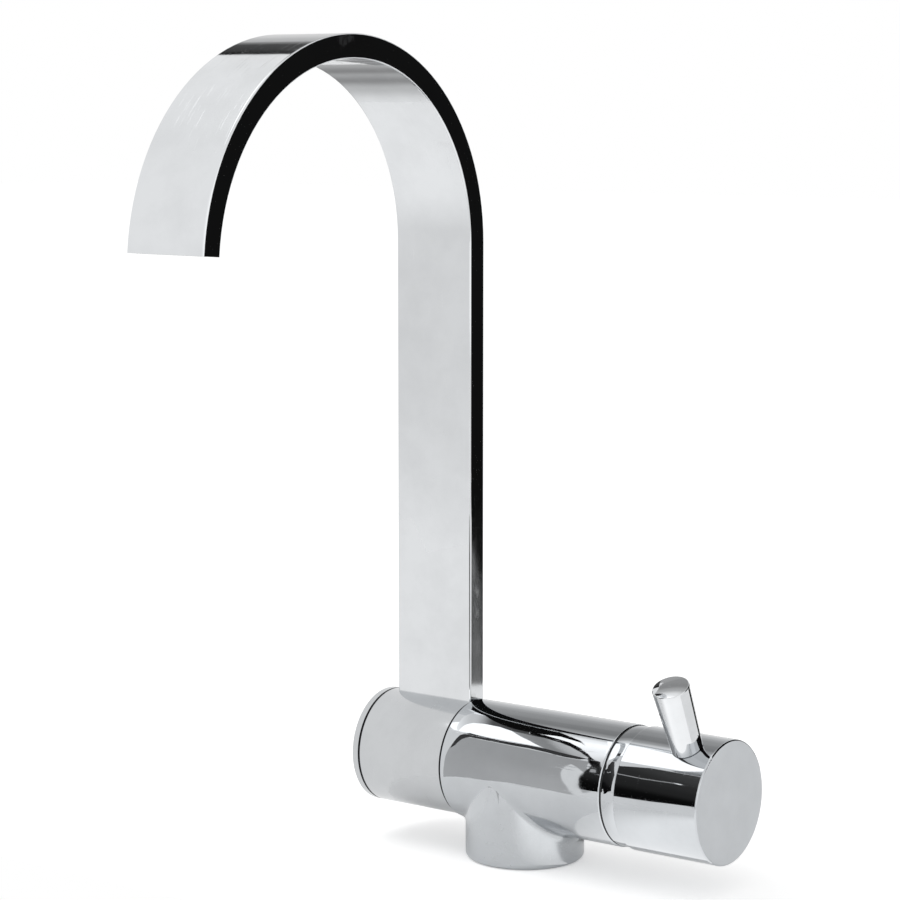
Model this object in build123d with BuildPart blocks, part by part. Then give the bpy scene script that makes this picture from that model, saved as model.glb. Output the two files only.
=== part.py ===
"""A fold-down kitchen mixer tap: a T-shaped brass body, a flat swan-neck spout that folds on the body's left spigot,
and on the right a three-inlet ceramic cartridge turned and tilted by a knob with a pin lever.

Millimetres and degrees. The origin is the centre of the neck's foot, where the tap stands on the worktop. +X runs along
the barrel towards the knob, -Y is the front, where the spout reaches, and +Z is up.
"""

import os
from math import acos, asin, cos, degrees, radians, sin, sqrt

from build123d import *

# Gaps that every pair of mating pieces shares.
running_gap = 0.05
end_gap = 0.15
swing_gap = 0.2
thread_relief = 0.1

# Body: a horizontal barrel, bored for the cartridge, on a vertical neck.
axis_height = 34.0
cartridge_radius = 17.4
body_wall = 5.1
body_shoulder = 0.9
body_right = 48.3
body_edge = 0.5
neck_step = 0.2
neck_fillet = 3.0
neck_foot_round = 2.0

# Fixing stud and supply ports in the neck's foot.
stud_radius = 3.4
stud_depth = 14.0
port_radius = 4.5
port_depth = 12.0
foot_lip = 0.5
foot_seal_width = 2.0
foot_seal_depth = 1.8
foot_seal_recess = 0.1
drill_overrun = 1.0

# Each supply: where its port stands on the foot, where its hole meets the cartridge seat, and its drill's radius.
supplies = {
    "hot": {"port": (1.0, 10.5), "seat": (6.9, 4.8), "drill": 2.8},
    "cold": {"port": (-6.0, -9.5), "seat": (-5.4, 6.4), "drill": 2.8},
    "filtered": {"port": (7.2, -9.0), "seat": (-8.3, -1.5), "drill": 2.3},
}
outlet_seat = (0.0, -7.0)
outlet_drill = 3.2

# Spigot on the body's left end, which carries the spout.
spigot_bore_radius = 8.0
spigot_bore_reach = 6.2
spigot_nose_step = 3.0
groove_width = 2.8
groove_depth = 2.0
cross_port_radius = 3.2
cross_port_count = 4

# Spout collar and what it holds.
collar_step = 0.7
collar_wall = 4.8
collar_overhang = 3.75
collar_edge = 0.3
land_length = 4.0
bush_wall = 3.0
bush_length = 6.5
washer_thickness = 1.0
plug_flange_thickness = 2.0
plug_recess = 1.25
plug_length = 9.0
plug_groove_depth = 1.5
plug_groove_width = 2.0
plug_hex = 8.0
plug_hex_depth = 5.0
cap_thickness = 3.0
cap_edge = 0.4
cap_boss_length = 3.0
cap_boss_wall = 1.0

# Stop pin in the body's shoulder, and the curved slot it runs in.
fold_travel = 90.0
stop_pin_radius = 1.2
stop_pin_stand = 2.2
stop_pin_seat = 5.0
stop_pin_angle = 200.0
stop_slot_depth = 2.6

# Spout: a flat tube, one straight leg and two quarter bends, the front one a little larger.
spout_width = 34.6
spout_thickness = 8.7
spout_wall = 1.2
spout_edge = 0.8
spout_right_inset = 1.1
leg_front = 1.9
leg_sink = 3.5
spout_top = 304.9
back_bend = 75.5
front_bend_extra = 5.1
front_sweep = 85.3
chamber_port_margin = 0.8

# Outlet insert: a comb of fins pressed into the spout's mouth.
insert_length = 8.0
insert_recess = 1.0
insert_rim = 0.9
insert_slots = 12
insert_fin = 0.7

# Cartridge, from its seat in the body to the lid that the retaining nut holds.
base_thickness = 5.0
peg_radius = 1.9
peg_length = 2.5
peg_place = (10.0, -9.0)
port_seal_inset = 0.4
port_seal_width = 1.0
port_seal_height = 0.9
fixed_disc_thickness = 3.5
disc_edge_gap = 0.1
disc_travel_room = 4.65
moving_disc_thickness = 3.2
mixing_pocket_radius = 5.0
mixing_pocket_depth = 1.8
mixing_pocket_offset = 1.0
carrier_plate = 3.0
carrier_block = 12.0
carrier_block_height = 3.6
carrier_peg_radius = 1.0
carrier_peg_length = 1.5
carrier_peg_orbit = 8.5
housing_wall = 1.35
housing_lid = 2.4
housing_tower_wall = 3.05
housing_tower_length = 5.5
rotor_flange = 6.7
rotor_neck_radius = 9.4
rotor_top_reach = 3.7
rotor_slot_short = 5.0
rotor_slot_long = 6.6
rotor_ring_place = 4.4
rotor_ring_width = 1.8
rotor_ring_depth = 1.0

# Stem, which rocks on a cross pin in the rotor and slides the moving disc with its ball foot.
pivot_past_body = 1.5
stem_ball_rise = 0.75
stem_ball_radius = 3.0
stem_neck_radius = 2.2
stem_waist_gap = 3.85
stem_radius = 3.5
stem_square = 8.0
stem_square_start = 5.4
stem_length = 22.7
pivot_pin_radius = 1.5

# Retaining nut, a little inside the body's mouth, and domed bonnet ring over it.
nut_recess = 1.9
nut_land = 1.6
nut_clearance = 0.5
nut_length = 6.0
nut_slots = 4
nut_slot_width = 4.0
nut_slot_depth = 2.0
bonnet_gap = 0.7
bonnet_seal_inset = 0.2
dome_reach = 10.0
bonnet_bore_radius = 15.0

# Knob and lever pin. The lever leans forward of upright in the rest pose.
lever_angle = 25.5
knob_proud = 0.2
knob_gap = 6.2
knob_length = 34.9
knob_rim_round = 0.35
knob_face_round = 0.7
knob_lip = 0.4
knob_wall = 5.7
knob_end_wall = 5.0
hub_radius = 8.0
hub_start = 7.2
grub_radius = 2.5
grub_length = 6.5
grub_from_end = 6.5
grub_hex = 2.5
grub_hex_depth = 3.0
cover_radius = 3.0
cover_length = 3.2
lever_from_face = 12.1
lever_length = 26.6
lever_foot_radius = 5.8
lever_tip_radius = 6.75
lever_tip_edge = 0.4
lever_tip_crown = 0.6
lever_foot_gap = 0.3
lever_spigot_inset = 0.5
lever_thread_radius = 3.0

# Radii that follow from the sizes above.
body_radius = cartridge_radius + body_wall
neck_radius = body_radius - neck_step
body_left = neck_radius + body_shoulder
collar_radius = body_radius - collar_step
collar_bore_radius = collar_radius - collar_wall
spigot_radius = collar_bore_radius - bush_wall
spigot_nose_radius = spigot_radius - spigot_nose_step
land_radius = spigot_radius + swing_gap
washer_radius = collar_bore_radius - cap_boss_wall - swing_gap
stop_pin_orbit = (collar_radius + collar_bore_radius) / 2
housing_bore_radius = cartridge_radius - housing_wall
moving_disc_radius = housing_bore_radius - disc_travel_room
tower_radius = rotor_neck_radius + running_gap + housing_tower_wall
nut_radius = cartridge_radius + nut_land
nut_inner_radius = tower_radius + nut_clearance
knob_radius = body_radius + knob_proud
knob_bore_radius = knob_radius - knob_wall
cavity_radius = knob_radius - knob_lip
dome_radius = cavity_radius - swing_gap
bonnet_seal_radius = dome_radius - bonnet_seal_inset

# Places along the barrel, worked out the same way.
spout_right = -body_left - spout_right_inset
spout_left = spout_right - spout_width
collar_right = -body_left - end_gap
collar_left = spout_left - collar_overhang
bush_right_end = -body_left - washer_thickness - end_gap
bush_right_start = bush_right_end - bush_length
chamber_right = bush_right_start - land_length
nose_left = collar_left + plug_recess + plug_flange_thickness
spigot_left = nose_left + washer_thickness
bush_left_start = spigot_left + end_gap
bush_left_end = bush_left_start + bush_length
chamber_left = bush_left_end + land_length
chamber_centre = (chamber_left + chamber_right) / 2

disc_stack = fixed_disc_thickness + running_gap + moving_disc_thickness + carrier_plate
rotor_room = swing_gap + rotor_flange + running_gap
nut_end = body_right - nut_recess
lid_top = nut_end - nut_length
lid_base = lid_top - housing_lid
base_top = lid_base - rotor_room - disc_stack
cartridge_seat = base_top - base_thickness
fixed_top = base_top + fixed_disc_thickness
moving_base = fixed_top + running_gap
moving_top = moving_base + moving_disc_thickness
carrier_top = moving_top + carrier_plate
block_top = carrier_top + carrier_block_height
rotor_base = carrier_top + swing_gap
rotor_shoulder = rotor_base + rotor_flange
ball_place = carrier_top + stem_ball_rise
waist_place = block_top + stem_waist_gap
pivot_place = body_right + pivot_past_body
rotor_top = pivot_place + rotor_top_reach
bonnet_face = body_right + bonnet_gap
knob_rim = body_right + knob_gap
knob_face = knob_rim + knob_length
lever_place = knob_face - lever_from_face

# Directions: the barrel's axis, the lever's own line at rest, and the line its tilt turns about.
barrel_axis = Axis((0, 0, axis_height), (1, 0, 0))
lever_line = (0, -sin(radians(lever_angle)), cos(radians(lever_angle)))
tilt_line = (0, cos(radians(lever_angle)), sin(radians(lever_angle)))


def across(place):
    """A plane square to the barrel at this place, its x towards the back (+Y) and its y up."""
    return Plane(origin=(place, 0, axis_height), x_dir=(0, 1, 0), z_dir=(1, 0, 0))


def across_lever(place):
    """A plane square to the barrel, its x along the tilt line and its y along the lever."""
    return Plane(origin=(place, 0, axis_height), x_dir=tilt_line, z_dir=(1, 0, 0))


def along_lever(place, height=0.0, side=1):
    """A plane square to the lever's line, at this height from the barrel's axis."""
    origin = (place, side * height * lever_line[1], axis_height + side * height * lever_line[2])
    return Plane(origin=origin, x_dir=(1, 0, 0), z_dir=tuple(side * part for part in lever_line))


def turned(start, end, outer, inner=0.0, mode=Mode.ADD):
    """A length of rod or tube on the barrel's axis."""
    with BuildSketch(across(start)) as ring:
        Circle(outer)
        if inner:
            Circle(inner, mode=Mode.SUBTRACT)
    extrude(ring.sketch, amount=end - start, mode=mode)


def drilled(plane, radius, depth):
    """A round hole from the plane along its normal."""
    with BuildSketch(plane) as hole:
        Circle(radius)
    extrude(hole.sketch, amount=depth, mode=Mode.SUBTRACT)


def at_seat(place, seat):
    """The plane square to the barrel at this place, moved to a seat position."""
    return across(place).shift_origin(across(place).from_local_coords((*seat, 0)))


along_barrel = Plane(origin=(0, 0, axis_height), x_dir=(1, 0, 0), z_dir=(0, -1, 0))
parts = []


def keep(piece, label):
    """Names a finished piece and puts it on the list to be written."""
    piece.part.label = label
    parts.append(piece.part)


# ---- Body -------------------------------------------------------------------------------------------------------

with BuildPart() as body:
    # the neck's fillet is wider than the shoulder beside it, so the barrel is made long and cut back to its end
    turned(-body_left - 2 * neck_fillet, body_right, body_radius)
    with BuildSketch(Plane.XY) as neck:
        Circle(neck_radius)
    extrude(amount=axis_height)
    saddle = body.edges().filter_by(lambda edge: edge.geom_type not in (GeomType.CIRCLE, GeomType.LINE))
    fillet(saddle, neck_fillet)
    fillet(body.edges().filter_by(GeomType.CIRCLE).sort_by(Axis.Z)[0], neck_foot_round)
    turned(-body_left - 3 * neck_fillet, -body_left, 2 * body_radius, mode=Mode.SUBTRACT)
    ends = body.faces().filter_by(Axis.X).sort_by(Axis.X)
    fillet([*ends[0].edges(), *ends[-1].edges()], body_edge)

    # spigot, with a smaller nose that the plug clamps
    turned(spigot_left, -body_left, spigot_radius)
    turned(nose_left, spigot_left, spigot_nose_radius)
    turned(nose_left, -body_left + spigot_bore_reach, spigot_bore_radius, mode=Mode.SUBTRACT)
    for middle in (chamber_left - land_length / 2, chamber_right + land_length / 2):
        turned(
            middle - groove_width / 2,
            middle + groove_width / 2,
            spigot_radius,
            spigot_radius - groove_depth,
            mode=Mode.SUBTRACT,
        )
    for turn in range(cross_port_count):
        angle = radians(45 + turn * 360 / cross_port_count)
        way = (0, cos(angle), sin(angle))
        drilled(
            Plane(origin=(chamber_centre, 0, axis_height), x_dir=(1, 0, 0), z_dir=way),
            cross_port_radius,
            spigot_radius,
        )

    # cartridge bore, its threaded mouth and the two peg holes in its seat
    turned(cartridge_seat, body_right, cartridge_radius + thread_relief, mode=Mode.SUBTRACT)
    turned(lid_top, body_right, nut_radius, mode=Mode.SUBTRACT)
    for side in (-1, 1):
        drilled(
            at_seat(cartridge_seat - peg_length - thread_relief, (side * peg_place[0], peg_place[1])),
            peg_radius + thread_relief,
            peg_length + thread_relief,
        )

    # waterways: up from each port, then across to the seat, and back to the spigot
    for supply in supplies.values():
        port_x, port_y = supply["port"]
        seat_y, seat_up = supply["seat"]
        drill = supply["drill"]
        drilled(Plane.XY.shift_origin((port_x, port_y, 0)), port_radius, port_depth)
        drilled(Plane.XY.shift_origin((port_x, port_y, 0)), drill, axis_height + seat_up + drill)
        drilled(at_seat(port_x - drill, supply["seat"]), drill, cartridge_seat - port_x + drill)
    way_left = -body_left + spigot_bore_reach - drill_overrun
    drilled(at_seat(way_left, outlet_seat), outlet_drill, cartridge_seat - way_left)

    # fixing stud, foot seal groove and stop pin hole
    drilled(Plane.XY, stud_radius, stud_depth)
    foot_seal_radius = neck_radius - neck_foot_round - foot_lip
    with BuildSketch(Plane.XY) as seal_groove:
        Circle(foot_seal_radius)
        Circle(foot_seal_radius - foot_seal_width, mode=Mode.SUBTRACT)
    extrude(seal_groove.sketch, amount=foot_seal_depth, mode=Mode.SUBTRACT)
    stop_place = (
        stop_pin_orbit * cos(radians(stop_pin_angle)),
        stop_pin_orbit * sin(radians(stop_pin_angle)),
    )
    drilled(at_seat(-body_left, stop_place), stop_pin_radius, stop_pin_seat)
keep(body, "body")

with BuildPart() as foot_seal:
    with BuildSketch(Plane.XY.offset(foot_seal_recess)) as seal_ring:
        Circle(foot_seal_radius)
        Circle(foot_seal_radius - foot_seal_width, mode=Mode.SUBTRACT)
    extrude(amount=foot_seal_depth - foot_seal_recess)
keep(foot_seal, "foot_seal")

with BuildPart() as stop_pin:
    with BuildSketch(at_seat(-body_left - stop_pin_stand, stop_place)):
        Circle(stop_pin_radius)
    extrude(amount=stop_pin_stand + stop_pin_seat)
keep(stop_pin, "stop_pin")

# ---- Spigot seals, washers and plug ------------------------------------------------------------------------------

for label, middle in (
    ("spigot_seal_left", chamber_left - land_length / 2),
    ("spigot_seal_right", chamber_right + land_length / 2),
):
    with BuildPart() as spigot_seal:
        turned(
            middle - groove_width / 2,
            middle + groove_width / 2,
            land_radius - running_gap,
            spigot_radius - groove_depth,
        )
        rims = spigot_seal.edges().filter_by(GeomType.CIRCLE).sort_by(SortBy.RADIUS)
        fillet(rims[-2:], groove_depth / 3)
    keep(spigot_seal, label)

with BuildPart() as friction_washer:
    turned(-body_left - washer_thickness, -body_left, collar_bore_radius - swing_gap, spigot_radius + running_gap)
keep(friction_washer, "friction_washer")

with BuildPart() as thrust_washer:
    turned(nose_left, spigot_left, washer_radius, spigot_nose_radius + running_gap)
keep(thrust_washer, "thrust_washer")

with BuildPart() as spigot_plug:
    turned(nose_left - plug_flange_thickness, nose_left, washer_radius)
    chamfer(spigot_plug.edges().filter_by(GeomType.CIRCLE).sort_by(Axis.X)[0], body_edge)
    turned(nose_left, nose_left + plug_length, spigot_bore_radius)
    groove_start = nose_left + plug_length - 2 * plug_groove_width
    turned(
        groove_start,
        groove_start + plug_groove_width,
        spigot_bore_radius,
        spigot_bore_radius - plug_groove_depth,
        mode=Mode.SUBTRACT,
    )
    with BuildSketch(across(nose_left - plug_flange_thickness)) as hexagon:
        RegularPolygon(plug_hex / 2, 6, major_radius=False)
    extrude(hexagon.sketch, amount=plug_hex_depth, mode=Mode.SUBTRACT)
keep(spigot_plug, "spigot_plug")

with BuildPart() as plug_seal:
    turned(
        groove_start,
        groove_start + plug_groove_width,
        spigot_bore_radius,
        spigot_bore_radius - plug_groove_depth,
    )
keep(plug_seal, "plug_seal")

# ---- Spout -------------------------------------------------------------------------------------------------------

leg_back = spout_thickness - leg_front
front_bend = back_bend + front_bend_extra
bend_y = leg_back - back_bend
back_centre = (bend_y, spout_top - back_bend)
front_centre = (bend_y, spout_top - front_bend)
foot_height = axis_height + collar_radius - leg_sink


def swan_neck(inset, left, width):
    """The spout's side outline, drawn in by inset, as a solid of this width from this place across."""
    outer = (back_bend - inset, front_bend - inset)
    inner = (back_bend - spout_thickness + inset, front_bend - spout_thickness + inset)
    finish = radians(90 + front_sweep)
    mouth = [(bend_y + r * cos(finish), front_centre[1] + r * sin(finish)) for r in (outer[1], inner[1])]
    with BuildSketch(Plane.YZ.offset(left)) as outline:
        with BuildLine():
            Line((leg_back - inset, foot_height), (leg_back - inset, back_centre[1]))
            CenterArc(back_centre, outer[0], 0, 90)
            CenterArc(front_centre, outer[1], 90, front_sweep)
            Line(mouth[0], mouth[1])
            CenterArc(front_centre, inner[1], 90, front_sweep)
            CenterArc(back_centre, inner[0], 0, 90)
            Line((inset - leg_front, back_centre[1]), (inset - leg_front, foot_height))
            Line((inset - leg_front, foot_height), (leg_back - inset, foot_height))
        make_face()
    extrude(outline.sketch, amount=width)


with BuildPart() as neck_blank:
    swan_neck(0, spout_left, spout_width)
    sides = neck_blank.faces().filter_by(Axis.X)
    long_edges = sides.edges().filter_by(lambda edge: edge.length > 2 * spout_thickness)
    fillet(long_edges, spout_edge)

with BuildPart() as neck_bore:
    swan_neck(spout_wall, spout_left + spout_wall, spout_width - 2 * spout_wall)

with BuildPart() as spout_tube:
    add(neck_blank.part)
    add(neck_bore.part, mode=Mode.SUBTRACT)
keep(spout_tube, "spout_tube")

with BuildPart() as spout_collar:
    turned(collar_left, collar_right, collar_radius)
    rims = spout_collar.edges().filter_by(GeomType.CIRCLE)
    fillet(rims, collar_edge)
    turned(collar_left, bush_left_end, collar_bore_radius, mode=Mode.SUBTRACT)
    turned(bush_left_end, bush_right_start, land_radius, mode=Mode.SUBTRACT)
    turned(chamber_left, chamber_right, collar_bore_radius, mode=Mode.SUBTRACT)
    turned(bush_right_start, collar_right, collar_bore_radius, mode=Mode.SUBTRACT)
    add(neck_blank.part, mode=Mode.SUBTRACT)
    with BuildSketch(Plane.XY.offset(axis_height)) as chamber_port:
        with Locations((chamber_centre, (leg_back - leg_front) / 2)):
            Rectangle(
                chamber_right - chamber_left - 2 * chamber_port_margin,
                spout_thickness - 2 * spout_wall,
            )
    extrude(chamber_port.sketch, amount=foot_height - axis_height + spout_wall, mode=Mode.SUBTRACT)
    with BuildSketch(across(collar_right - stop_slot_depth)) as stop_slot:
        with BuildLine():
            reach = stop_pin_radius + swing_gap
            low = stop_pin_angle - fold_travel
            CenterArc((0, 0), stop_pin_orbit, low, fold_travel)
        trace(line_width=2 * reach)
        for angle in (low, stop_pin_angle):
            with Locations((stop_pin_orbit * cos(radians(angle)), stop_pin_orbit * sin(radians(angle)))):
                Circle(reach)
    extrude(stop_slot.sketch, amount=stop_slot_depth, mode=Mode.SUBTRACT)
keep(spout_collar, "spout_collar")

for label, start, end in (
    ("swivel_bush_left", bush_left_start, bush_left_end),
    ("swivel_bush_right", bush_right_start, bush_right_end),
):
    with BuildPart() as swivel_bush:
        turned(start, end, collar_bore_radius, spigot_radius + running_gap)
    keep(swivel_bush, label)

with BuildPart() as end_cap:
    turned(collar_left - cap_thickness, collar_left, collar_radius)
    rims = end_cap.edges().filter_by(GeomType.CIRCLE).sort_by(Axis.X)
    fillet([rims[0], rims[-1]], cap_edge)
    turned(collar_left, collar_left + cap_boss_length, collar_bore_radius, collar_bore_radius - cap_boss_wall)
keep(end_cap, "end_cap")

# The insert follows the bend, so its sides are arcs about the front bend's centre.
bend_middle = front_bend - spout_thickness / 2
mouth_angle = 90 + front_sweep
insert_end = mouth_angle - insert_recess / radians(bend_middle)
insert_start = insert_end - insert_length / radians(bend_middle)
with BuildPart() as outlet_insert:
    with BuildSketch(Plane.YZ.offset(spout_left + spout_wall)) as insert_side:
        with BuildLine():
            lines = []
            for radius in (front_bend - spout_wall, front_bend - spout_thickness + spout_wall):
                lines.append(CenterArc(front_centre, radius, insert_start, insert_end - insert_start))
            Line(lines[0] @ 0, lines[1] @ 0)
            Line(lines[0] @ 1, lines[1] @ 1)
        make_face()
    extrude(amount=spout_width - 2 * spout_wall)
    slot_pitch = (spout_width - 2 * spout_wall - 2 * insert_rim + insert_fin) / insert_slots
    mouth_point = (
        spout_left + spout_width / 2,
        bend_y + bend_middle * cos(radians(mouth_angle)),
        front_centre[1] + bend_middle * sin(radians(mouth_angle)),
    )
    flow = (0, -sin(radians(mouth_angle)), cos(radians(mouth_angle)))
    with BuildSketch(Plane(origin=mouth_point, x_dir=(1, 0, 0), z_dir=flow)) as slots:
        with GridLocations(slot_pitch, 0, insert_slots, 1):
            Rectangle(slot_pitch - insert_fin, spout_thickness - 2 * spout_wall - 2 * insert_rim)
    extrude(slots.sketch, amount=2 * insert_length, both=True, mode=Mode.SUBTRACT)
keep(outlet_insert, "outlet_insert")

# ---- Cartridge ---------------------------------------------------------------------------------------------------

seat_holes = [(supply["seat"], supply["drill"]) for supply in supplies.values()]
seat_holes.append((outlet_seat, outlet_drill))

with BuildPart() as cartridge_base:
    turned(cartridge_seat, base_top, cartridge_radius)
    for seat, drill in seat_holes:
        drilled(at_seat(cartridge_seat, seat), drill, base_thickness)
        with BuildSketch(at_seat(cartridge_seat, seat)) as groove:
            Circle(drill + port_seal_inset + port_seal_width)
            Circle(drill + port_seal_inset, mode=Mode.SUBTRACT)
        extrude(groove.sketch, amount=port_seal_height, mode=Mode.SUBTRACT)
    for side in (-1, 1):
        with BuildSketch(at_seat(cartridge_seat - peg_length, (side * peg_place[0], peg_place[1]))) as peg:
            Circle(peg_radius)
        extrude(peg.sketch, amount=peg_length)
keep(cartridge_base, "cartridge_base")

with BuildPart() as port_seals:
    for seat, drill in seat_holes:
        with BuildSketch(at_seat(cartridge_seat, seat)) as ring:
            Circle(drill + port_seal_inset + port_seal_width)
            Circle(drill + port_seal_inset, mode=Mode.SUBTRACT)
        extrude(ring.sketch, amount=port_seal_height)
keep(port_seals, "port_seals")

with BuildPart() as fixed_disc:
    turned(base_top, fixed_top, housing_bore_radius - disc_edge_gap)
    for seat, drill in seat_holes:
        drilled(at_seat(base_top, seat), drill, fixed_disc_thickness)
keep(fixed_disc, "fixed_disc")

with BuildPart() as moving_disc:
    turned(moving_base, moving_top, moving_disc_radius)
    with BuildSketch(across_lever(moving_base)) as pocket:
        with Locations((0, -mixing_pocket_offset)):
            Circle(mixing_pocket_radius)
    extrude(pocket.sketch, amount=mixing_pocket_depth, mode=Mode.SUBTRACT)
    with BuildSketch(across_lever(moving_top - carrier_peg_length)) as peg_holes:
        with Locations((-carrier_peg_orbit, 0), (carrier_peg_orbit, 0)):
            Circle(carrier_peg_radius)
    extrude(peg_holes.sketch, amount=carrier_peg_length, mode=Mode.SUBTRACT)
keep(moving_disc, "moving_disc")

with BuildPart() as disc_carrier:
    turned(moving_top, carrier_top, moving_disc_radius)
    with BuildSketch(across_lever(carrier_top)) as block:
        Rectangle(carrier_block, carrier_block)
    extrude(block.sketch, amount=carrier_block_height)
    socket_floor = ball_place - stem_ball_radius - swing_gap
    drilled(across(socket_floor), stem_ball_radius + 2 * running_gap, block_top - socket_floor)
    with BuildSketch(across_lever(moving_top - carrier_peg_length)) as pegs:
        with Locations((-carrier_peg_orbit, 0), (carrier_peg_orbit, 0)):
            Circle(carrier_peg_radius)
    extrude(pegs.sketch, amount=carrier_peg_length)
keep(disc_carrier, "disc_carrier")

with BuildPart() as cartridge_housing:
    turned(base_top, lid_top, cartridge_radius)
    turned(lid_top, lid_top + housing_tower_length, tower_radius)
    turned(base_top, lid_base, housing_bore_radius, mode=Mode.SUBTRACT)
    turned(lid_base, lid_top + housing_tower_length, rotor_neck_radius + running_gap, mode=Mode.SUBTRACT)
keep(cartridge_housing, "cartridge_housing")

ring_start = lid_base + rotor_ring_place
with BuildPart() as rotor:
    turned(rotor_base, rotor_shoulder, housing_bore_radius - running_gap)
    turned(rotor_shoulder, rotor_top, rotor_neck_radius)
    turned(
        ring_start,
        ring_start + rotor_ring_width,
        rotor_neck_radius,
        rotor_neck_radius - rotor_ring_depth,
        mode=Mode.SUBTRACT,
    )
    with BuildSketch(across_lever(rotor_base)) as channel:
        Rectangle(carrier_block + 2 * running_gap, 2 * cartridge_radius)
    extrude(channel.sketch, amount=block_top + swing_gap - rotor_base, mode=Mode.SUBTRACT)
    with BuildSketch(across_lever(rotor_base)) as slot:
        with Locations((0, (rotor_slot_long - rotor_slot_short) / 2)):
            Rectangle(2 * (stem_radius + running_gap), rotor_slot_long + rotor_slot_short)
    extrude(slot.sketch, amount=rotor_top - rotor_base, mode=Mode.SUBTRACT)
    with BuildSketch(Plane(origin=(pivot_place, 0, axis_height), x_dir=(1, 0, 0), z_dir=tilt_line)) as pin_hole:
        Circle(pivot_pin_radius)
    extrude(pin_hole.sketch, amount=rotor_neck_radius, both=True, mode=Mode.SUBTRACT)
keep(rotor, "rotor")

with BuildPart() as rotor_ring:
    turned(
        ring_start,
        ring_start + rotor_ring_width,
        rotor_neck_radius,
        rotor_neck_radius - rotor_ring_depth,
    )
keep(rotor_ring, "rotor_ring")

with BuildPart() as pivot_pin:
    with BuildSketch(Plane(origin=(pivot_place, 0, axis_height), x_dir=(1, 0, 0), z_dir=tilt_line)):
        Circle(pivot_pin_radius)
    extrude(amount=rotor_neck_radius - swing_gap, both=True)
keep(pivot_pin, "pivot_pin")

stem_end = pivot_place + stem_length
with BuildPart() as stem:
    with Locations((ball_place, 0, axis_height)):
        Sphere(stem_ball_radius)
    turned(ball_place, waist_place, stem_neck_radius)
    turned(waist_place, pivot_place + stem_square_start, stem_radius)
    with BuildSketch(across_lever(pivot_place + stem_square_start)) as square:
        Rectangle(stem_square, stem_square)
    extrude(square.sketch, amount=stem_length - stem_square_start)
    with BuildSketch(Plane(origin=(pivot_place, 0, axis_height), x_dir=(1, 0, 0), z_dir=tilt_line)) as cross_hole:
        Circle(pivot_pin_radius + running_gap)
    extrude(cross_hole.sketch, amount=stem_radius, both=True, mode=Mode.SUBTRACT)
keep(stem, "stem")

with BuildPart() as retaining_nut:
    turned(lid_top, nut_end, nut_radius, nut_inner_radius)
    with BuildSketch(across(nut_end - nut_slot_depth)) as key_slots:
        with PolarLocations((nut_radius + nut_inner_radius) / 2, nut_slots):
            Rectangle(nut_radius, nut_slot_width)
    extrude(key_slots.sketch, amount=nut_slot_depth, mode=Mode.SUBTRACT)
keep(retaining_nut, "retaining_nut")

with BuildPart() as bonnet_ring:
    with Locations((pivot_place, 0, axis_height)):
        Sphere(dome_radius)
    turned(pivot_place - dome_radius, bonnet_face, dome_radius, mode=Mode.SUBTRACT)
    turned(pivot_place + dome_reach, pivot_place + dome_radius, dome_radius, mode=Mode.SUBTRACT)
    turned(nut_end, bonnet_face, nut_radius)
    turned(nut_end, pivot_place + dome_reach, bonnet_bore_radius, mode=Mode.SUBTRACT)
keep(bonnet_ring, "bonnet_ring")

with BuildPart() as bonnet_seal:
    turned(body_right, bonnet_face, bonnet_seal_radius, nut_radius)
keep(bonnet_seal, "bonnet_seal")

# ---- Knob and lever ----------------------------------------------------------------------------------------------

hub_left = pivot_place + hub_start
grub_x = stem_end - grub_from_end
cavity_end = knob_face - knob_end_wall
bore_angle = degrees(asin(knob_bore_radius / cavity_radius))
rim_angle = degrees(acos((knob_rim - pivot_place) / cavity_radius))
with BuildPart() as knob:
    with BuildSketch(along_barrel) as section:
        with BuildLine():
            cavity = CenterArc((pivot_place, 0), cavity_radius, bore_angle, rim_angle - bore_angle)
            Polyline(cavity @ 1, (knob_rim, knob_radius), (knob_face, knob_radius), (knob_face, 0), (hub_left, 0))
            Polyline((hub_left, 0), (hub_left, hub_radius), (cavity_end, hub_radius))
            Polyline((cavity_end, hub_radius), (cavity_end, knob_bore_radius), cavity @ 0)
        make_face()
    revolve(axis=barrel_axis)
    rims = knob.edges().filter_by(GeomType.CIRCLE).sort_by(SortBy.RADIUS)[-2:].sort_by(Axis.X)
    fillet(rims[0], knob_rim_round)
    fillet(rims[-1], knob_face_round)
    with BuildSketch(across_lever(hub_left)) as socket:
        Rectangle(stem_square, stem_square)
    extrude(socket.sketch, amount=stem_end + swing_gap - hub_left, mode=Mode.SUBTRACT)
    drilled(along_lever(lever_place, knob_bore_radius), lever_thread_radius, knob_radius - knob_bore_radius)
    drilled(along_lever(grub_x, side=-1), grub_radius, hub_radius)
    drilled(along_lever(grub_x, hub_radius, side=-1), cover_radius, knob_radius - hub_radius)
keep(knob, "knob")

with BuildPart() as grub_screw:
    with BuildSketch(along_lever(grub_x, stem_square / 2, side=-1)):
        Circle(grub_radius)
    extrude(amount=grub_length)
    grub_top = stem_square / 2 + grub_length
    with BuildSketch(along_lever(grub_x, grub_top - grub_hex_depth, side=-1)) as key:
        RegularPolygon(grub_hex / 2, 6, major_radius=False)
    extrude(key.sketch, amount=grub_hex_depth, mode=Mode.SUBTRACT)
keep(grub_screw, "grub_screw")

cover_top = sqrt(knob_radius**2 - cover_radius**2)
with BuildPart() as screw_cover:
    with BuildSketch(along_lever(grub_x, cover_top - cover_length, side=-1)):
        Circle(cover_radius)
    extrude(amount=cover_length)
keep(screw_cover, "screw_cover")

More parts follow.
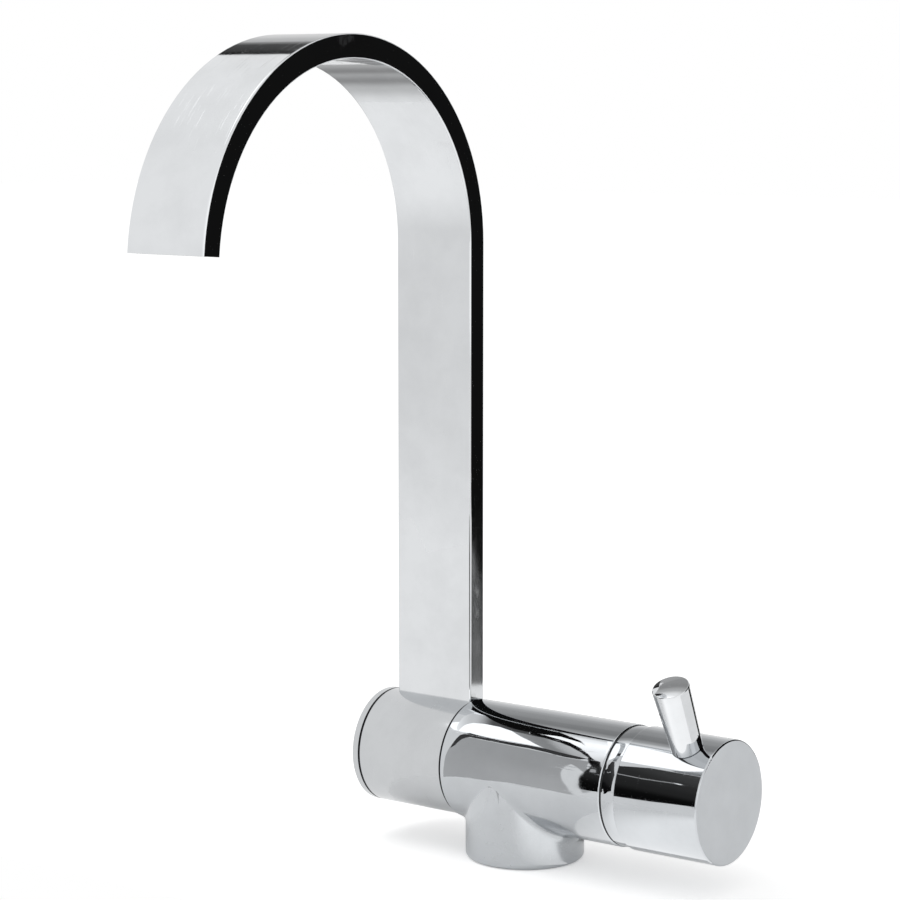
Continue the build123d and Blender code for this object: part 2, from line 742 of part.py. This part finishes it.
lever_plane = Plane(origin=(lever_place, 0, axis_height), x_dir=(1, 0, 0), z_dir=tuple(-part for part in tilt_line))
tip = knob_radius + lever_length
thread_end = knob_bore_radius + swing_gap
crown_radius = (lever_tip_radius**2 + lever_tip_crown**2) / (2 * lever_tip_crown)
crown_angle = degrees(asin(lever_tip_radius / crown_radius))
with BuildPart() as lever_pin:
    with BuildSketch(lever_plane) as half:
        with BuildLine():
            crown = CenterArc((0, tip - crown_radius), crown_radius, 90 - crown_angle, crown_angle)
            Polyline(
                crown @ 1,
                (0, knob_bore_radius),
                (lever_foot_radius, knob_bore_radius),
                (lever_foot_radius, knob_radius),
                crown @ 0,
            )
        make_face()
    revolve(axis=Axis((lever_place, 0, axis_height), lever_line))
    fillet(lever_pin.edges().filter_by(GeomType.CIRCLE).sort_by(SortBy.LENGTH)[-1], lever_tip_edge)
    turned(knob_rim, knob_face, knob_radius + lever_foot_gap, mode=Mode.SUBTRACT)
    with BuildSketch(along_lever(lever_place, knob_bore_radius)) as foot:
        Circle(lever_foot_radius - lever_spigot_inset)
    extrude(foot.sketch, amount=knob_radius + 2 * lever_foot_gap - knob_bore_radius)
    turned(knob_rim, knob_face, knob_radius, mode=Mode.SUBTRACT)
    with BuildSketch(along_lever(lever_place, thread_end)) as shank:
        Circle(lever_thread_radius)
    extrude(shank.sketch, amount=knob_radius + lever_foot_gap - thread_end)
keep(lever_pin, "lever_pin")

# ---- Writing -----------------------------------------------------------------------------------------------------

os.makedirs("parts", exist_ok=True)
for part in parts:
    export_step(part, f"parts/{part.label}.step")
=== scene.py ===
"""The looks of a fold-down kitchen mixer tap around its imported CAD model: chromium plate in a white studio.

Metres, in the CAD model's own frame. The origin is the centre of the neck's foot, +X runs along the barrel to the
knob, -Y is the front, where the spout reaches, and +Z is up.
"""

import math

import bmesh
import bpy
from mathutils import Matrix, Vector

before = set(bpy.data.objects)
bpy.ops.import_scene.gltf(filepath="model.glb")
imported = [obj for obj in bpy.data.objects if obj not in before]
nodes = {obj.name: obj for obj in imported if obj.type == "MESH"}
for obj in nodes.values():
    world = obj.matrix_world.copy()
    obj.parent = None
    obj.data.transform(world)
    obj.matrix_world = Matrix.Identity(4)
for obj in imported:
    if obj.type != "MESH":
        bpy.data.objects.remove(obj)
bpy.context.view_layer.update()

# ---- Camera ------------------------------------------------------------------------------------------------------
# A long lens looks slightly down at the tap from the front right, so that the barrel recedes to the left. The view
# settings stay plain, so that a colour renders about as it is written.

camera = bpy.data.objects.new("camera", bpy.data.cameras.new("camera"))
camera.data.lens = 110.573
camera.data.sensor_width = 36
camera.location = (0.58783, -0.82449, 0.28304)
looks_down, turned_left = 7.29, 37.08
camera.rotation_euler = (math.radians(90 - looks_down), 0, math.radians(turned_left))
bpy.context.scene.collection.objects.link(camera)
bpy.context.scene.camera = camera
bpy.context.scene.view_settings.view_transform = "Standard"

# ---- White table in a white tent ---------------------------------------------------------------------------------
# A matt white table stands in a tent of white cloth, which lights the tap from all round. To the camera and in
# reflections the cloth is plain white; the table keeps the tap's soft shadow.


def linear(code):
    """An sRGB hex colour as a linear one."""
    parts = [int(code[i : i + 2], 16) / 255 for i in (1, 3, 5)]
    return (*(p / 12.92 if p <= 0.04045 else ((p + 0.055) / 1.055) ** 2.4 for p in parts), 1.0)


def add(tree, kind, settings=(), links=()):
    """Adds a node to the tree: settings give its options and its sockets' values, and links what feeds them."""
    node = tree.nodes.new(kind)
    for name, value in dict(settings).items():
        if isinstance(name, int) or name in node.inputs:
            node.inputs[name].default_value = value
        else:
            setattr(node, name, value)
    for name, source in dict(links).items():
        tree.links.new(source, node.inputs[name])
    return node


def new_material(name):
    """An empty material, and its node tree."""
    material = bpy.data.materials.new(name)
    material.use_nodes = True
    material.node_tree.nodes.clear()
    return material, material.node_tree


def seen(tree, camera_share):
    """This share for rays from the camera, 1 for reflected and refracted ones, and 0 for the light itself."""
    path = add(tree, "ShaderNodeLightPath")
    to_camera = path.outputs["Is Camera Ray"]
    shown = add(tree, "ShaderNodeMath", {"operation": "MULTIPLY", 1: camera_share}, {0: to_camera})
    mirrored = add(
        tree,
        "ShaderNodeMath",
        {"operation": "MAXIMUM"},
        {0: path.outputs["Is Glossy Ray"], 1: path.outputs["Is Transmission Ray"]},
    )
    either = add(tree, "ShaderNodeMath", {"operation": "MAXIMUM"}, {0: shown.outputs[0], 1: mirrored.outputs[0]})
    return either.outputs[0]


# the light that the tent gives, where its cloth is seen as 1
tent_light = 0.8
tent = bpy.data.worlds.new("white_tent")
bpy.context.scene.world = tent
tent.use_nodes = True
tree = tent.node_tree
tree.nodes.clear()
strength = add(tree, "ShaderNodeMapRange", {"To Min": tent_light, "To Max": 1.0}, {"Value": seen(tree, 1.0)})
cloth = add(tree, "ShaderNodeBackground", {"Color": linear("#FFFFFF")}, {"Strength": strength.outputs[0]})
add(tree, "ShaderNodeOutputWorld", {}, {"Surface": cloth.outputs[0]})

# what lifts the matt paint to the tent's white: this much in reflections, and that many times more for the camera
table_lift, camera_lift = 0.13, 2.6
table_paint, tree = new_material("matt_white_table")
matt = add(tree, "ShaderNodeBsdfDiffuse", {"Color": linear("#F6F6F6")})
lift = add(tree, "ShaderNodeMath", {"operation": "MULTIPLY", 1: table_lift}, {0: seen(tree, camera_lift)})
glow = add(tree, "ShaderNodeEmission", {"Color": linear("#FFFFFF")}, {"Strength": lift.outputs[0]})
both = add(tree, "ShaderNodeAddShader", {}, {0: matt.outputs[0], 1: glow.outputs[0]})
add(tree, "ShaderNodeOutputMaterial", {}, {"Surface": both.outputs[0]})


def panel(name, corners, material):
    """A flat panel of the studio through these corners."""
    shape = bmesh.new()
    shape.faces.new([shape.verts.new(corner) for corner in corners])
    mesh = bpy.data.meshes.new(name)
    shape.to_mesh(mesh)
    shape.free()
    mesh.materials.append(material)
    made = bpy.data.objects.new(name, mesh)
    bpy.context.scene.collection.objects.link(made)
    return made


# the table round its sink opening, which the spout's mouth passes through when it is folded down
table_half = 6.0
sink_left, sink_right, sink_front, sink_back = -0.25, 0.06, -0.45, -0.12
for name, x0, x1, y0, y1 in (
    ("table_behind_sink", -table_half, table_half, sink_back, table_half),
    ("table_before_sink", -table_half, table_half, -table_half, sink_front),
    ("table_left_of_sink", -table_half, sink_left, sink_front, sink_back),
    ("table_right_of_sink", sink_right, table_half, sink_front, sink_back),
):
    panel(name, [(x0, y0, 0), (x1, y0, 0), (x1, y1, 0), (x0, y1, 0)], table_paint)

# ---- Lamp --------------------------------------------------------------------------------------------------------
# One soft lamp high on the left gives the shadow its direction. Metal doesn't show it, because the cards do that.

lamp = bpy.data.lights.new("soft_lamp", "AREA")
lamp.size = 0.5
lamp.energy = 2.0
lamp_stand = bpy.data.objects.new("soft_lamp", lamp)
lamp_stand.location = (-0.45, -0.25, 0.9)
lamp_stand.rotation_euler = (Vector((0, 0, 0.1)) - lamp_stand.location).to_track_quat("-Z", "Y").to_euler()
lamp_stand.visible_glossy = False
bpy.context.scene.collection.objects.link(lamp_stand)

# ---- Cards and flags ---------------------------------------------------------------------------------------------
# Panels of paper and cloth stand round the tap, because chrome shows nothing of its own. Only reflections see them.
# Tones are radiances: the tent's cloth is 1. A ramp's places are metres along one of the tap's axes.


def card(name, corners, tones, axis=2):
    """A panel that only reflections see, of one tone, or of tones at places along an axis, given as pairs."""
    material, tree = new_material(name + "_paper")
    if isinstance(tones, float):
        glow = add(tree, "ShaderNodeEmission", {"Color": (tones, tones, tones, 1), "Strength": 1.0})
    else:
        first, last, peak = tones[0][0], tones[-1][0], max(tone for place, tone in tones)
        place = add(tree, "ShaderNodeSeparateXYZ", {}, {0: add(tree, "ShaderNodeTexCoord").outputs["Object"]})
        along = add(tree, "ShaderNodeMapRange", {"From Min": first, "From Max": last}, {"Value": place.outputs[axis]})
        ramp = add(tree, "ShaderNodeValToRGB", {}, {0: along.outputs[0]})
        ramp.color_ramp.interpolation = "EASE"
        stops = ramp.color_ramp.elements
        while len(stops) < len(tones):
            stops.new(0.5)
        for stop, (where, tone) in zip(stops, tones):
            stop.position = (where - first) / (last - first)
            stop.color = (tone / peak, tone / peak, tone / peak, 1)
        glow = add(tree, "ShaderNodeEmission", {"Strength": peak}, {"Color": ramp.outputs[0]})
    add(tree, "ShaderNodeOutputMaterial", {}, {"Surface": glow.outputs[0]})
    made = panel(name, corners, material)
    made.visible_camera = made.visible_diffuse = made.visible_shadow = False


def standing(azimuth, distance, near, far, low, high):
    """Corners of an upright panel that faces the tap from this azimuth (0 back, 90 left), at this distance."""
    turn = math.radians(azimuth)
    out = Vector((-math.sin(turn), math.cos(turn), 0)) * distance
    side = Vector((math.cos(turn), math.sin(turn), 0))
    return [out + side * s + Vector((0, 0, z)) for s, z in ((near, low), (far, low), (far, high), (near, high))]


def level(height, outline):
    """Corners of a level panel at this height."""
    return [(x, y, height) for x, y in outline]


mm = 0.001
joint_plane, panel_gap = -24.2 * mm, 0.1 * mm


def beside(outline, step=0):
    """Corners, given in mm, of an upright panel square to the barrel, where the body meets the spout's collar. A
    higher step puts it in front of the others."""
    return [(joint_plane + step * panel_gap, y * mm, z * mm) for y, z in outline]


# a softbox overhead, which fades into grey cloth towards the back
card(
    "softbox",
    level(
        2.2,
        [(-0.27, -0.79), (-1.59, -1.38), (-1.76, -1.23), (-1.76, -0.71), (-1.67, -0.3), (-1.67, 0.18)]
        + [(-1.69, 0.45), (-1.77, 0.82), (-1.93, 1.25), (-1.84, 1.84), (-1.3, 2.25), (-0.24, 0.66)],
    ),
    [(-1.38, 1.95), (0.08, 1.85), (0.31, 1.05), (0.61, 0.52), (0.92, 0.33), (1.36, 0.36), (2.25, 0.45)],
    axis=1,
)

# a grey wall behind on the left, darker towards its top, with a black bar hung before it
card(
    "grey_wall_back_left",
    standing(38, 2.2, -0.6, 0.7, 0.0, 2.6),
    [(0.0, 0.95), (0.4, 0.8), (0.8, 0.7), (1.17, 0.55), (1.55, 0.46), (2.6, 0.38)],
)
card(
    "black_bar_back_left",
    level(
        0.88,
        [(-0.8, 0.4), (-0.665, 0.4), (-0.73, 0.504), (-0.795, 0.63), (-0.885, 0.8), (-0.93, 0.9), (-1.2, 0.9)],
    ),
    [(0.4, 0.008), (0.43, 0.015), (0.5, 0.06), (0.7, 0.08), (0.8, 0.22), (0.9, 0.42)],
    axis=1,
)

# grey and black flags beside the body, which the collar and the spout can't see, and the strips above them
card(
    "grey_flag",
    beside(
        [(-25.6, 29.2), (-26.6, 35.3), (-26.4, 42.3), (-26.2, 47.8), (-26.6, 52.5), (-28.6, 60.6), (-35, 68.3)]
        + [(-41.7, 76), (-48.7, 83.7), (-56, 91.3), (-63.7, 98.8), (-76.7, 106.7), (-84, 115), (-89.9, 119.8)]
        + [(-112, 90), (-127.5, 19.8), (-116, 6.6), (-110, 1), (-101.2, 5), (-91.2, 9.5), (-84, 12.2)]
        + [(-68, 17.8), (-56, 20), (-50, 21.2), (-41.7, 24), (-34.2, 26.6)]
    ),
    [(-0.005, 0.64), (0.03, 0.6), (0.07, 0.53), (0.12, 0.5)],
)
card(
    "black_flag",
    beside(
        [(-118.1, 44.2), (-113.5, 78.7), (-104.6, 102.6), (-95.4, 116.6), (-84, 128.5), (-89.8, 129.7)]
        + [(-108.6, 113.4), (-112.4, 119.5), (-99.5, 135), (-102.4, 139.7), (-104.9, 167.3), (-124.4, 193.6)]
        + [(-132, 203), (-300, 203)]
        + [(-300, 40), (-208.3, 31.2), (-174.9, 20.8), (-151, 19), (-145.4, 18.5), (-144.3, 33.6), (-137.3, 31.2)]
        + [(-134.9, 25.3), (-127.9, 23.6), (-120.5, 25.1)],
        1,
    ),
    [(0.015, 0.003), (0.05, 0.006), (0.085, 0.028), (0.13, 0.04), (0.17, 0.07), (0.203, 0.1)],
)
card(
    "pale_patch",
    beside(
        [(-104.9, 52.8), (-96.4, 79.9), (-92, 97.1), (-101.7, 92.5), (-110.4, 85), (-116, 60), (-118.3, 48.3)]
        + [(-120.2, 21.6), (-120.4, 5.7), (-111.2, -1.3), (-110.3, 27.8)],
        2,
    ),
    1.05,
)
card("white_speck", beside([(-106, 102), (-109.3, 103.8), (-115.6, 94.3), (-112.6, 90.4)], 2), 0.5)
streak = [(-122.7, 113.3), (-140.4, 120.8), (-152.3, 131.7), (-160.4, 141.4)]
streak += [(-163, 138), (-155, 129), (-143, 118), (-126, 111)]
card("pale_streak", beside(streak, 2), 0.5)
card("white_dot", beside([(-161, 141.5), (-166, 143), (-168, 139), (-163, 137)], 3), 1.6)
card(
    "light_strip",
    beside(
        [(-2.2, 119), (-3.6, 126.6), (-16, 126), (-21.7, 120.9), (-28.9, 123.7), (-31.3, 130.7), (-44.5, 133)]
        + [(-60.9, 135), (-77.6, 131), (-89.8, 128.7), (-97, 128), (-81, 142), (-60, 153), (-40, 159), (-20, 162)]
        + [(-2.2, 160)],
    ),
    [(-0.097, 1.0), (-0.06, 1.5), (-0.03, 1.8), (-0.014, 1.5), (-0.002, 0.9)],
    axis=1,
)
card(
    "black_strip",
    beside(
        [(-2.2, 60), (-2.2, 112), (-3.2, 125), (-10.9, 133.2), (-19.7, 140.6), (-37.5, 143), (-27.3, 140.1)]
        + [(-21.7, 133.2), (-16.7, 126.1), (-18.5, 115), (-18, 104.6), (-16, 94.3), (-11, 83.8), (-4.6, 71.8)]
        + [(-5, 61.4)],
        1,
    ),
    0.006,
)
card(
    "black_strip_second",
    beside(
        [(-17, 104.7), (-19.3, 115.3), (-26.5, 125.5), (-32.1, 132), (-47.2, 135.9), (-65.5, 134.7), (-84, 128.5)]
        + [(-95.8, 123.6), (-109, 109.2), (-103, 108.3), (-76.7, 128.1), (-60.6, 130.5), (-45.4, 128.7), (-36, 123.8)]
        + [(-27.8, 114.4), (-24.6, 104.2)],
        1,
    ),
    0.006,
)
card(
    "dark_strip",
    beside(
        [(-19, 55), (-15, 57.5), (-11, 60), (-7, 64), (-4.6, 72), (-7, 83.7), (-11, 94.3), (-16, 104.6)]
        + [(-24.6, 104.2), (-20.6, 92.1), (-16.1, 84), (-14.9, 73.9), (-15.5, 66), (-17.5, 61), (-21.4, 55.5)],
    ),
    [(0.05, 1.6), (0.066, 0.9), (0.08, 0.12), (0.105, 0.09)],
)
card(
    "grey_strip",
    beside(
        [(-20.6, 92.1), (-22.2, 104.5), (-25, 114.8), (-36, 123.8), (-43.8, 129.2), (-60.6, 130.5), (-75.2, 129.1)]
        + [(-75.9, 119.6), (-68.1, 113.5), (-54.8, 104.8), (-38.6, 100.8)],
    ),
    [(0.092, 0.5), (0.112, 0.38), (0.122, 0.7), (0.13, 0.8)],
)
card(
    "dark_hem",
    beside(
        [(-26.8, 45.2), (-25.5, 50.9), (-24.2, 55.6), (-24.7, 62.4), (-31, 70.5), (-37.5, 78.6), (-42.8, 87.4)]
        + [(-48.2, 96.4), (-54.8, 104.8), (-66.8, 114.4), (-75.8, 121.5), (-81.3, 124.9), (-82.7, 116.1)]
        + [(-75.6, 107.8), (-62.6, 99.6), (-54.2, 92.6), (-47.9, 84.3), (-41, 76.5), (-34.5, 68.7), (-28.2, 60.8)]
        + [(-27.4, 55.2), (-28, 48.7)],
        1,
    ),
    0.06,
)

# a white screen left of the cap, which keeps the softbox out of the collar
screen = [(0.012, 0.04), (0.012, 0.12), (-0.02, 0.12), (-0.03, 0.105), (-0.1, 0.105), (-0.1, 0.001), (-0.001, 0.001)]
screen_plane = -66.3 * mm
card("collar_screen", [(screen_plane, y, z) for y, z in screen], 1.0)

# a white sheet on the table at the right, brightest close to the tap
card(
    "white_sheet_right",
    level(0.0005, [(0.022, -0.4), (0.6, -0.4), (0.6, -0.003), (0.022, -0.003)]),
    [(0.022, 0.98), (0.052, 1.32), (0.1, 1.25), (0.3, 1.1), (0.6, 1.0)],
    axis=0,
)

# dark cloth on the table behind the barrel, which draws a thin dark line along rounded outlines
dark_cloth = [(-0.3, 0.08), (-0.08, 0.032), (0.075, 0.032), (0.0, 0.12), (-0.1, 0.4), (-0.3, 0.4)]
card("dark_cloth_behind", level(0.0003, dark_cloth), 0.1)

# grey paper on the table at the back left, which the inside of the bend shows
card(
    "grey_paper_back_left",
    level(0.0005, [(-0.24, 0.03), (-0.24, 0.5), (-0.6, 0.5), (-0.6, 0.03)]),
    [(0.03, 0.95), (0.1, 0.62), (0.16, 0.33), (0.22, 0.45), (0.28, 0.3), (0.42, 0.45), (0.5, 0.5)],
    axis=1,
)

# black cloth behind on the right, with a grey wedge before its foot that has a paler edge
cloth_azimuth, cloth_distance, wedge_distance = -37, 0.275, 0.2745
upper_cloth = standing(cloth_azimuth, cloth_distance, -0.12, 0.25, 0.08, 0.75)
card("black_cloth_back_right", upper_cloth, [(0.08, 0.006), (0.2, 0.007), (0.75, 0.012)])
card("black_cloth_foot", standing(cloth_azimuth, cloth_distance, -0.12, -0.01, 0.0, 0.08), 0.008)


def before_cloth(outline):
    """Corners, given in mm across and up, of a panel just in front of the black cloth."""
    turn = math.radians(cloth_azimuth)
    out = Vector((-math.sin(turn), math.cos(turn), 0)) * wedge_distance
    side = Vector((math.cos(turn), math.sin(turn), 0))
    return [out + side * (across * mm) + Vector((0, 0, up * mm)) for across, up in outline]


wedge = [(-20.0, 72), (-22.4, 58), (-23.9, 40), (-24.8, 23), (-25.8, 4), (-26.2, 0), (-20.0, 0)]
card("grey_wedge", before_cloth(wedge), 0.19)
wedge_edge = [(-20.2, 72), (-22.4, 60), (-24.1, 40), (-25.0, 23), (-26.0, 4), (-26.4, 0)]
wedge_edge += [(-25.7, 0), (-25.3, 4), (-24.3, 23), (-23.3, 40), (-21.6, 57)]
card("grey_wedge_edge", before_cloth(wedge_edge), 0.45)

# white reflectors at the right and behind the camera, which catch rounded edges
card("reflector_right", standing(-112, 2.0, -0.8, 0.8, 0.0, 1.2), 1.3)
card("reflector_front", standing(-165, 2.2, -0.9, 0.9, 0.0, 1.6), 1.1)

# ---- Body --------------------------------------------------------------------------------------------------------
# The T-shaped body is a brass casting, polished and then plated with nickel and decorative chromium. Hand polishing
# leaves a mirror with long faint waves, smudges and a few hairlines, which fades to satin on the neck.


def place_in(tree, stretch=(1, 1, 1)):
    """Coordinates on the piece in metres, stretched along the axes."""
    where = add(tree, "ShaderNodeTexCoord").outputs["Object"]
    return add(tree, "ShaderNodeMapping", {"Scale": stretch}, {"Vector": where}).outputs[0]


def chromium(name, tone, roughness, wave_height, hairlines, shaded_joints=(), satin_below=-1.0):
    """Chromium plate of this tone. hairlines stretches the scratch pattern, in lines per metre along each axis. At each
    joint place given along the barrel, a dark line of painted shade is drawn where the parts meet, standing in for the
    shadow in the gap. The polish fades to satin below the height satin_below."""
    wave_length, smudge_size, scratch_depth = 14 * mm, 20 * mm, 0.004 * mm
    # the width of the painted shade line at a joint, and the length over which the polish fades to satin
    joint_shade_width, satin_fade = 1 * mm, 12 * mm
    haze_roughness, scratch_roughness, satin_roughness, smudge_share = 0.05, 0.16, 0.2, 0.06
    material, tree = new_material(name)
    where = place_in(tree)
    waves = add(tree, "ShaderNodeTexNoise", {"Scale": 1 / wave_length, "Detail": 1.0}, {"Vector": where})
    smudges = add(
        tree,
        "ShaderNodeTexNoise",
        {"Scale": 1 / smudge_size, "Detail": 4.0, "Roughness": 0.6},
        {"Vector": where},
    )
    scratch = add(tree, "ShaderNodeTexNoise", {"Scale": 1.0, "Detail": 2.0}, {"Vector": place_in(tree, hairlines)})
    # only the noise's peaks are scratches
    line = add(tree, "ShaderNodeMapRange", {"From Min": 0.66, "From Max": 0.72}, {"Value": scratch.outputs[0]})
    haze = add(
        tree,
        "ShaderNodeMapRange",
        {"From Min": 0.35, "From Max": 0.75, "To Min": roughness, "To Max": roughness + haze_roughness},
        {"Value": smudges.outputs[0]},
    )
    scratched = add(
        tree,
        "ShaderNodeMath",
        {"operation": "MULTIPLY_ADD", 1: scratch_roughness},
        {0: line.outputs[0], 2: haze.outputs[0]},
    )
    place = add(tree, "ShaderNodeSeparateXYZ", {}, {0: where}).outputs
    satin = add(
        tree,
        "ShaderNodeMapRange",
        {"From Min": satin_below, "From Max": satin_below - satin_fade, "To Min": 0.0, "To Max": satin_roughness},
        {"Value": place[2]},
    )
    rough = add(tree, "ShaderNodeMath", {"operation": "ADD"}, {0: scratched.outputs[0], 1: satin.outputs[0]})
    polish = add(tree, "ShaderNodeBump", {"Strength": 1.0, "Distance": wave_height}, {"Height": waves.outputs[0]})
    cut = add(
        tree,
        "ShaderNodeBump",
        {"Strength": 0.5, "Distance": scratch_depth, "invert": True},
        {"Height": line.outputs[0], "Normal": polish.outputs[0]},
    )
    # smudges dull the plate a little, and at each joint a line of painted shade, where the gap's shadow falls, darkens
    # it fully
    smudge_and_joint_shade = add(
        tree,
        "ShaderNodeMapRange",
        {"From Min": 0.4, "From Max": 0.65, "To Max": smudge_share},
        {"Value": smudges.outputs[0]},
    ).outputs[0]
    # painted shade: the plate turns dark within half that width either side of each joint place
    for joint in shaded_joints:
        at_joint = {"operation": "COMPARE", 1: joint, 2: joint_shade_width / 2}
        joint_shade = add(tree, "ShaderNodeMath", at_joint, {0: place[0]})
        smudge_and_joint_shade = add(tree, "ShaderNodeMath", {"operation": "MAXIMUM"}, {0: smudge_and_joint_shade, 1: joint_shade.outputs[0]}).outputs[0]
    colour = add(tree, "ShaderNodeValToRGB", {}, {0: smudge_and_joint_shade})
    colour.color_ramp.elements[0].color = linear(tone)
    # the dark end of the ramp: smudges mix in a little of it, and the painted joint shade all of it
    colour.color_ramp.elements[1].color = linear("#222426")
    plate = add(
        tree,
        "ShaderNodeBsdfPrincipled",
        {"Metallic": 1.0},
        {"Base Color": colour.outputs[0], "Roughness": rough.outputs[0], "Normal": cut.outputs[0]},
    )
    add(tree, "ShaderNodeOutputMaterial", {}, {"Surface": plate.outputs[0]})
    return material


def finish(material, *names):
    """Gives these CAD nodes the material."""
    for name in names:
        mesh = nodes[name].data
        mesh.materials.clear()
        mesh.materials.append(material)


# scratches are drawn 17 mm long and 0.4 mm apart, coarser than real ones, so that they show. The body's run along the
# barrel, and the turned pieces' round it.
hairline_length, hairline_gap = 1000 / 60 * mm, 0.4 * mm
along_barrel = (1 / hairline_length, 1 / hairline_gap, 1 / hairline_gap)
round_barrel = (1 / hairline_gap, 1 / hairline_length, 1 / hairline_length)
cast_plate = chromium("chromium_on_cast_brass", "#C6C9CC", 0.02, 0.03 * mm, along_barrel, satin_below=26 * mm)
finish(cast_plate, "body")

# ---- Rubber rings ------------------------------------------------------------------------------------------------
# The foot seal, the dark ring between body and bonnet, and the O-rings inside are moulded nitrile rubber: near black,
# with a dull, faintly grained skin.


def moulded(name, colour, roughness, ior, grain_size, grain_height):
    """A moulded or pressed piece with a fine grain, which makes its shine a little uneven."""
    uneven = 0.06
    material, tree = new_material(name)
    grain = add(tree, "ShaderNodeTexNoise", {"Scale": 1 / grain_size, "Detail": 3.0}, {"Vector": place_in(tree)})
    gloss = add(
        tree,
        "ShaderNodeMapRange",
        {"From Min": 0.3, "From Max": 0.7, "To Min": roughness - uneven, "To Max": roughness + uneven},
        {"Value": grain.outputs[0]},
    )
    skin = add(tree, "ShaderNodeBump", {"Strength": 0.6, "Distance": grain_height}, {"Height": grain.outputs[0]})
    surface = add(
        tree,
        "ShaderNodeBsdfPrincipled",
        {"Base Color": linear(colour), "IOR": ior},
        {"Roughness": gloss.outputs[0], "Normal": skin.outputs[0]},
    )
    add(tree, "ShaderNodeOutputMaterial", {}, {"Surface": surface.outputs[0]})
    return material


rubber = moulded("nitrile_rubber", "#17181A", 0.55, 1.52, 0.6 * mm, 0.01 * mm)
finish(rubber, "foot_seal", "bonnet_seal", "spigot_seal_left", "spigot_seal_right")
finish(rubber, "plug_seal", "port_seals", "rotor_ring")

# ---- Stop pin and other turned steel -----------------------------------------------------------------------------
# Stainless steel pins and screws, turned or ground: grey, with a shine that is drawn out along fine rings.


def turned(name, colour, roughness, axis, ring_pitch):
    """Turned metal with fine rings that follow the axis: the pattern is drawn out round it."""
    drawn_out, ring_height, duller, brighter = 50, 0.004 * mm, 0.08, 0.07
    material, tree = new_material(name)
    stretch = [1 / (drawn_out * ring_pitch)] * 3
    stretch[axis] = 1 / ring_pitch
    rings = add(tree, "ShaderNodeTexNoise", {"Scale": 1.0, "Detail": 2.0}, {"Vector": place_in(tree, stretch)})
    gloss = add(
        tree,
        "ShaderNodeMapRange",
        {"From Min": 0.3, "From Max": 0.7, "To Min": roughness - brighter, "To Max": roughness + duller},
        {"Value": rings.outputs[0]},
    )
    tool_marks = add(tree, "ShaderNodeBump", {"Strength": 0.4, "Distance": ring_height}, {"Height": rings.outputs[0]})
    metal = add(
        tree,
        "ShaderNodeBsdfPrincipled",
        {"Base Color": linear(colour), "Metallic": 1.0},
        {"Roughness": gloss.outputs[0], "Normal": tool_marks.outputs[0]},
    )
    add(tree, "ShaderNodeOutputMaterial", {}, {"Surface": metal.outputs[0]})
    return material


steel = turned("turned_stainless_steel", "#B9B8B5", 0.24, 0, 0.4 * mm)
finish(steel, "stop_pin", "pivot_pin", "grub_screw", "stem")

# ---- Spigot plug and nut -----------------------------------------------------------------------------------------
# The plug that holds the spout on its spigot and the nut that holds the cartridge are turned brass, left unplated: a
# warm yellow whose shine is drawn out along the rings.

brass = turned("turned_brass", "#CDA869", 0.22, 0, 0.5 * mm)
finish(brass, "spigot_plug", "retaining_nut")

# ---- Washers and bushes ------------------------------------------------------------------------------------------
# The washers and bushes that the spout turns on, and the disc carrier, are moulded white acetal: milky and smooth.

acetal = moulded("white_acetal", "#E9E8E2", 0.32, 1.48, 1.2 * mm, 0.006 * mm)
finish(acetal, "friction_washer", "thrust_washer", "swivel_bush_left", "swivel_bush_right", "disc_carrier")

# ---- Cartridge ---------------------------------------------------------------------------------------------------
# The cartridge's base, housing and rotor are moulded grey acetal, with a soft even shine. Its two discs are pressed
# alumina, fired and lapped: white, hard and glossy.

grey_acetal = moulded("grey_acetal", "#7C8084", 0.36, 1.48, 1.2 * mm, 0.006 * mm)
finish(grey_acetal, "cartridge_base", "cartridge_housing", "rotor")
alumina = moulded("lapped_alumina", "#F1EFEA", 0.12, 1.76, 0.8 * mm, 0.001 * mm)
finish(alumina, "fixed_disc", "moving_disc")

# ---- Spout, its collar and cap -----------------------------------------------------------------------------------
# The spout is a flat brass tube, bent, brazed into its collar, linished and chromium plated: a bright mirror with faint
# clouds and hairlines across it. The collar and the cap that closes it are turned brass with the same plate, satin
# enough to blur what they show, with a dark line of painted shade in the joint at each end of the collar.

tube_plate = chromium("chromium_on_linished_tube", "#DEE0E2", 0.04, 0.02 * mm, round_barrel)
finish(tube_plate, "spout_tube")
# where the painted shade lines go: the joints of the collar with the cap and with the body
collar_shaded_joints = (-62.5 * mm, -23.7 * mm)
collar_plate = chromium("chromium_on_turned_collar", "#C8CACC", 0.1, 0.01 * mm, round_barrel, collar_shaded_joints)
finish(collar_plate, "spout_collar", "end_cap")

# ---- Outlet insert -----------------------------------------------------------------------------------------------
# A comb of thin fins, moulded in grey acetal and pressed into the spout's mouth, smooths the water.

finish(grey_acetal, "outlet_insert")

# ---- Bonnet ring, knob and lever ---------------------------------------------------------------------------------
# The bonnet ring, knob and pin lever are turned from brass bar and plated, so they are truer mirrors than the body: the
# edges of what they show are sharp. The pin's plate is paler. The screw cover is a small plated plug on the knob's far
# side.

knob_plate = chromium("chromium_on_turned_brass", "#C4C7CA", 0.02, 0.012 * mm, round_barrel)
finish(knob_plate, "bonnet_ring", "knob", "screw_cover")
pin_plate = chromium("chromium_on_turned_pin", "#DCDEE0", 0.03, 0.005 * mm, round_barrel)
finish(pin_plate, "lever_pin")
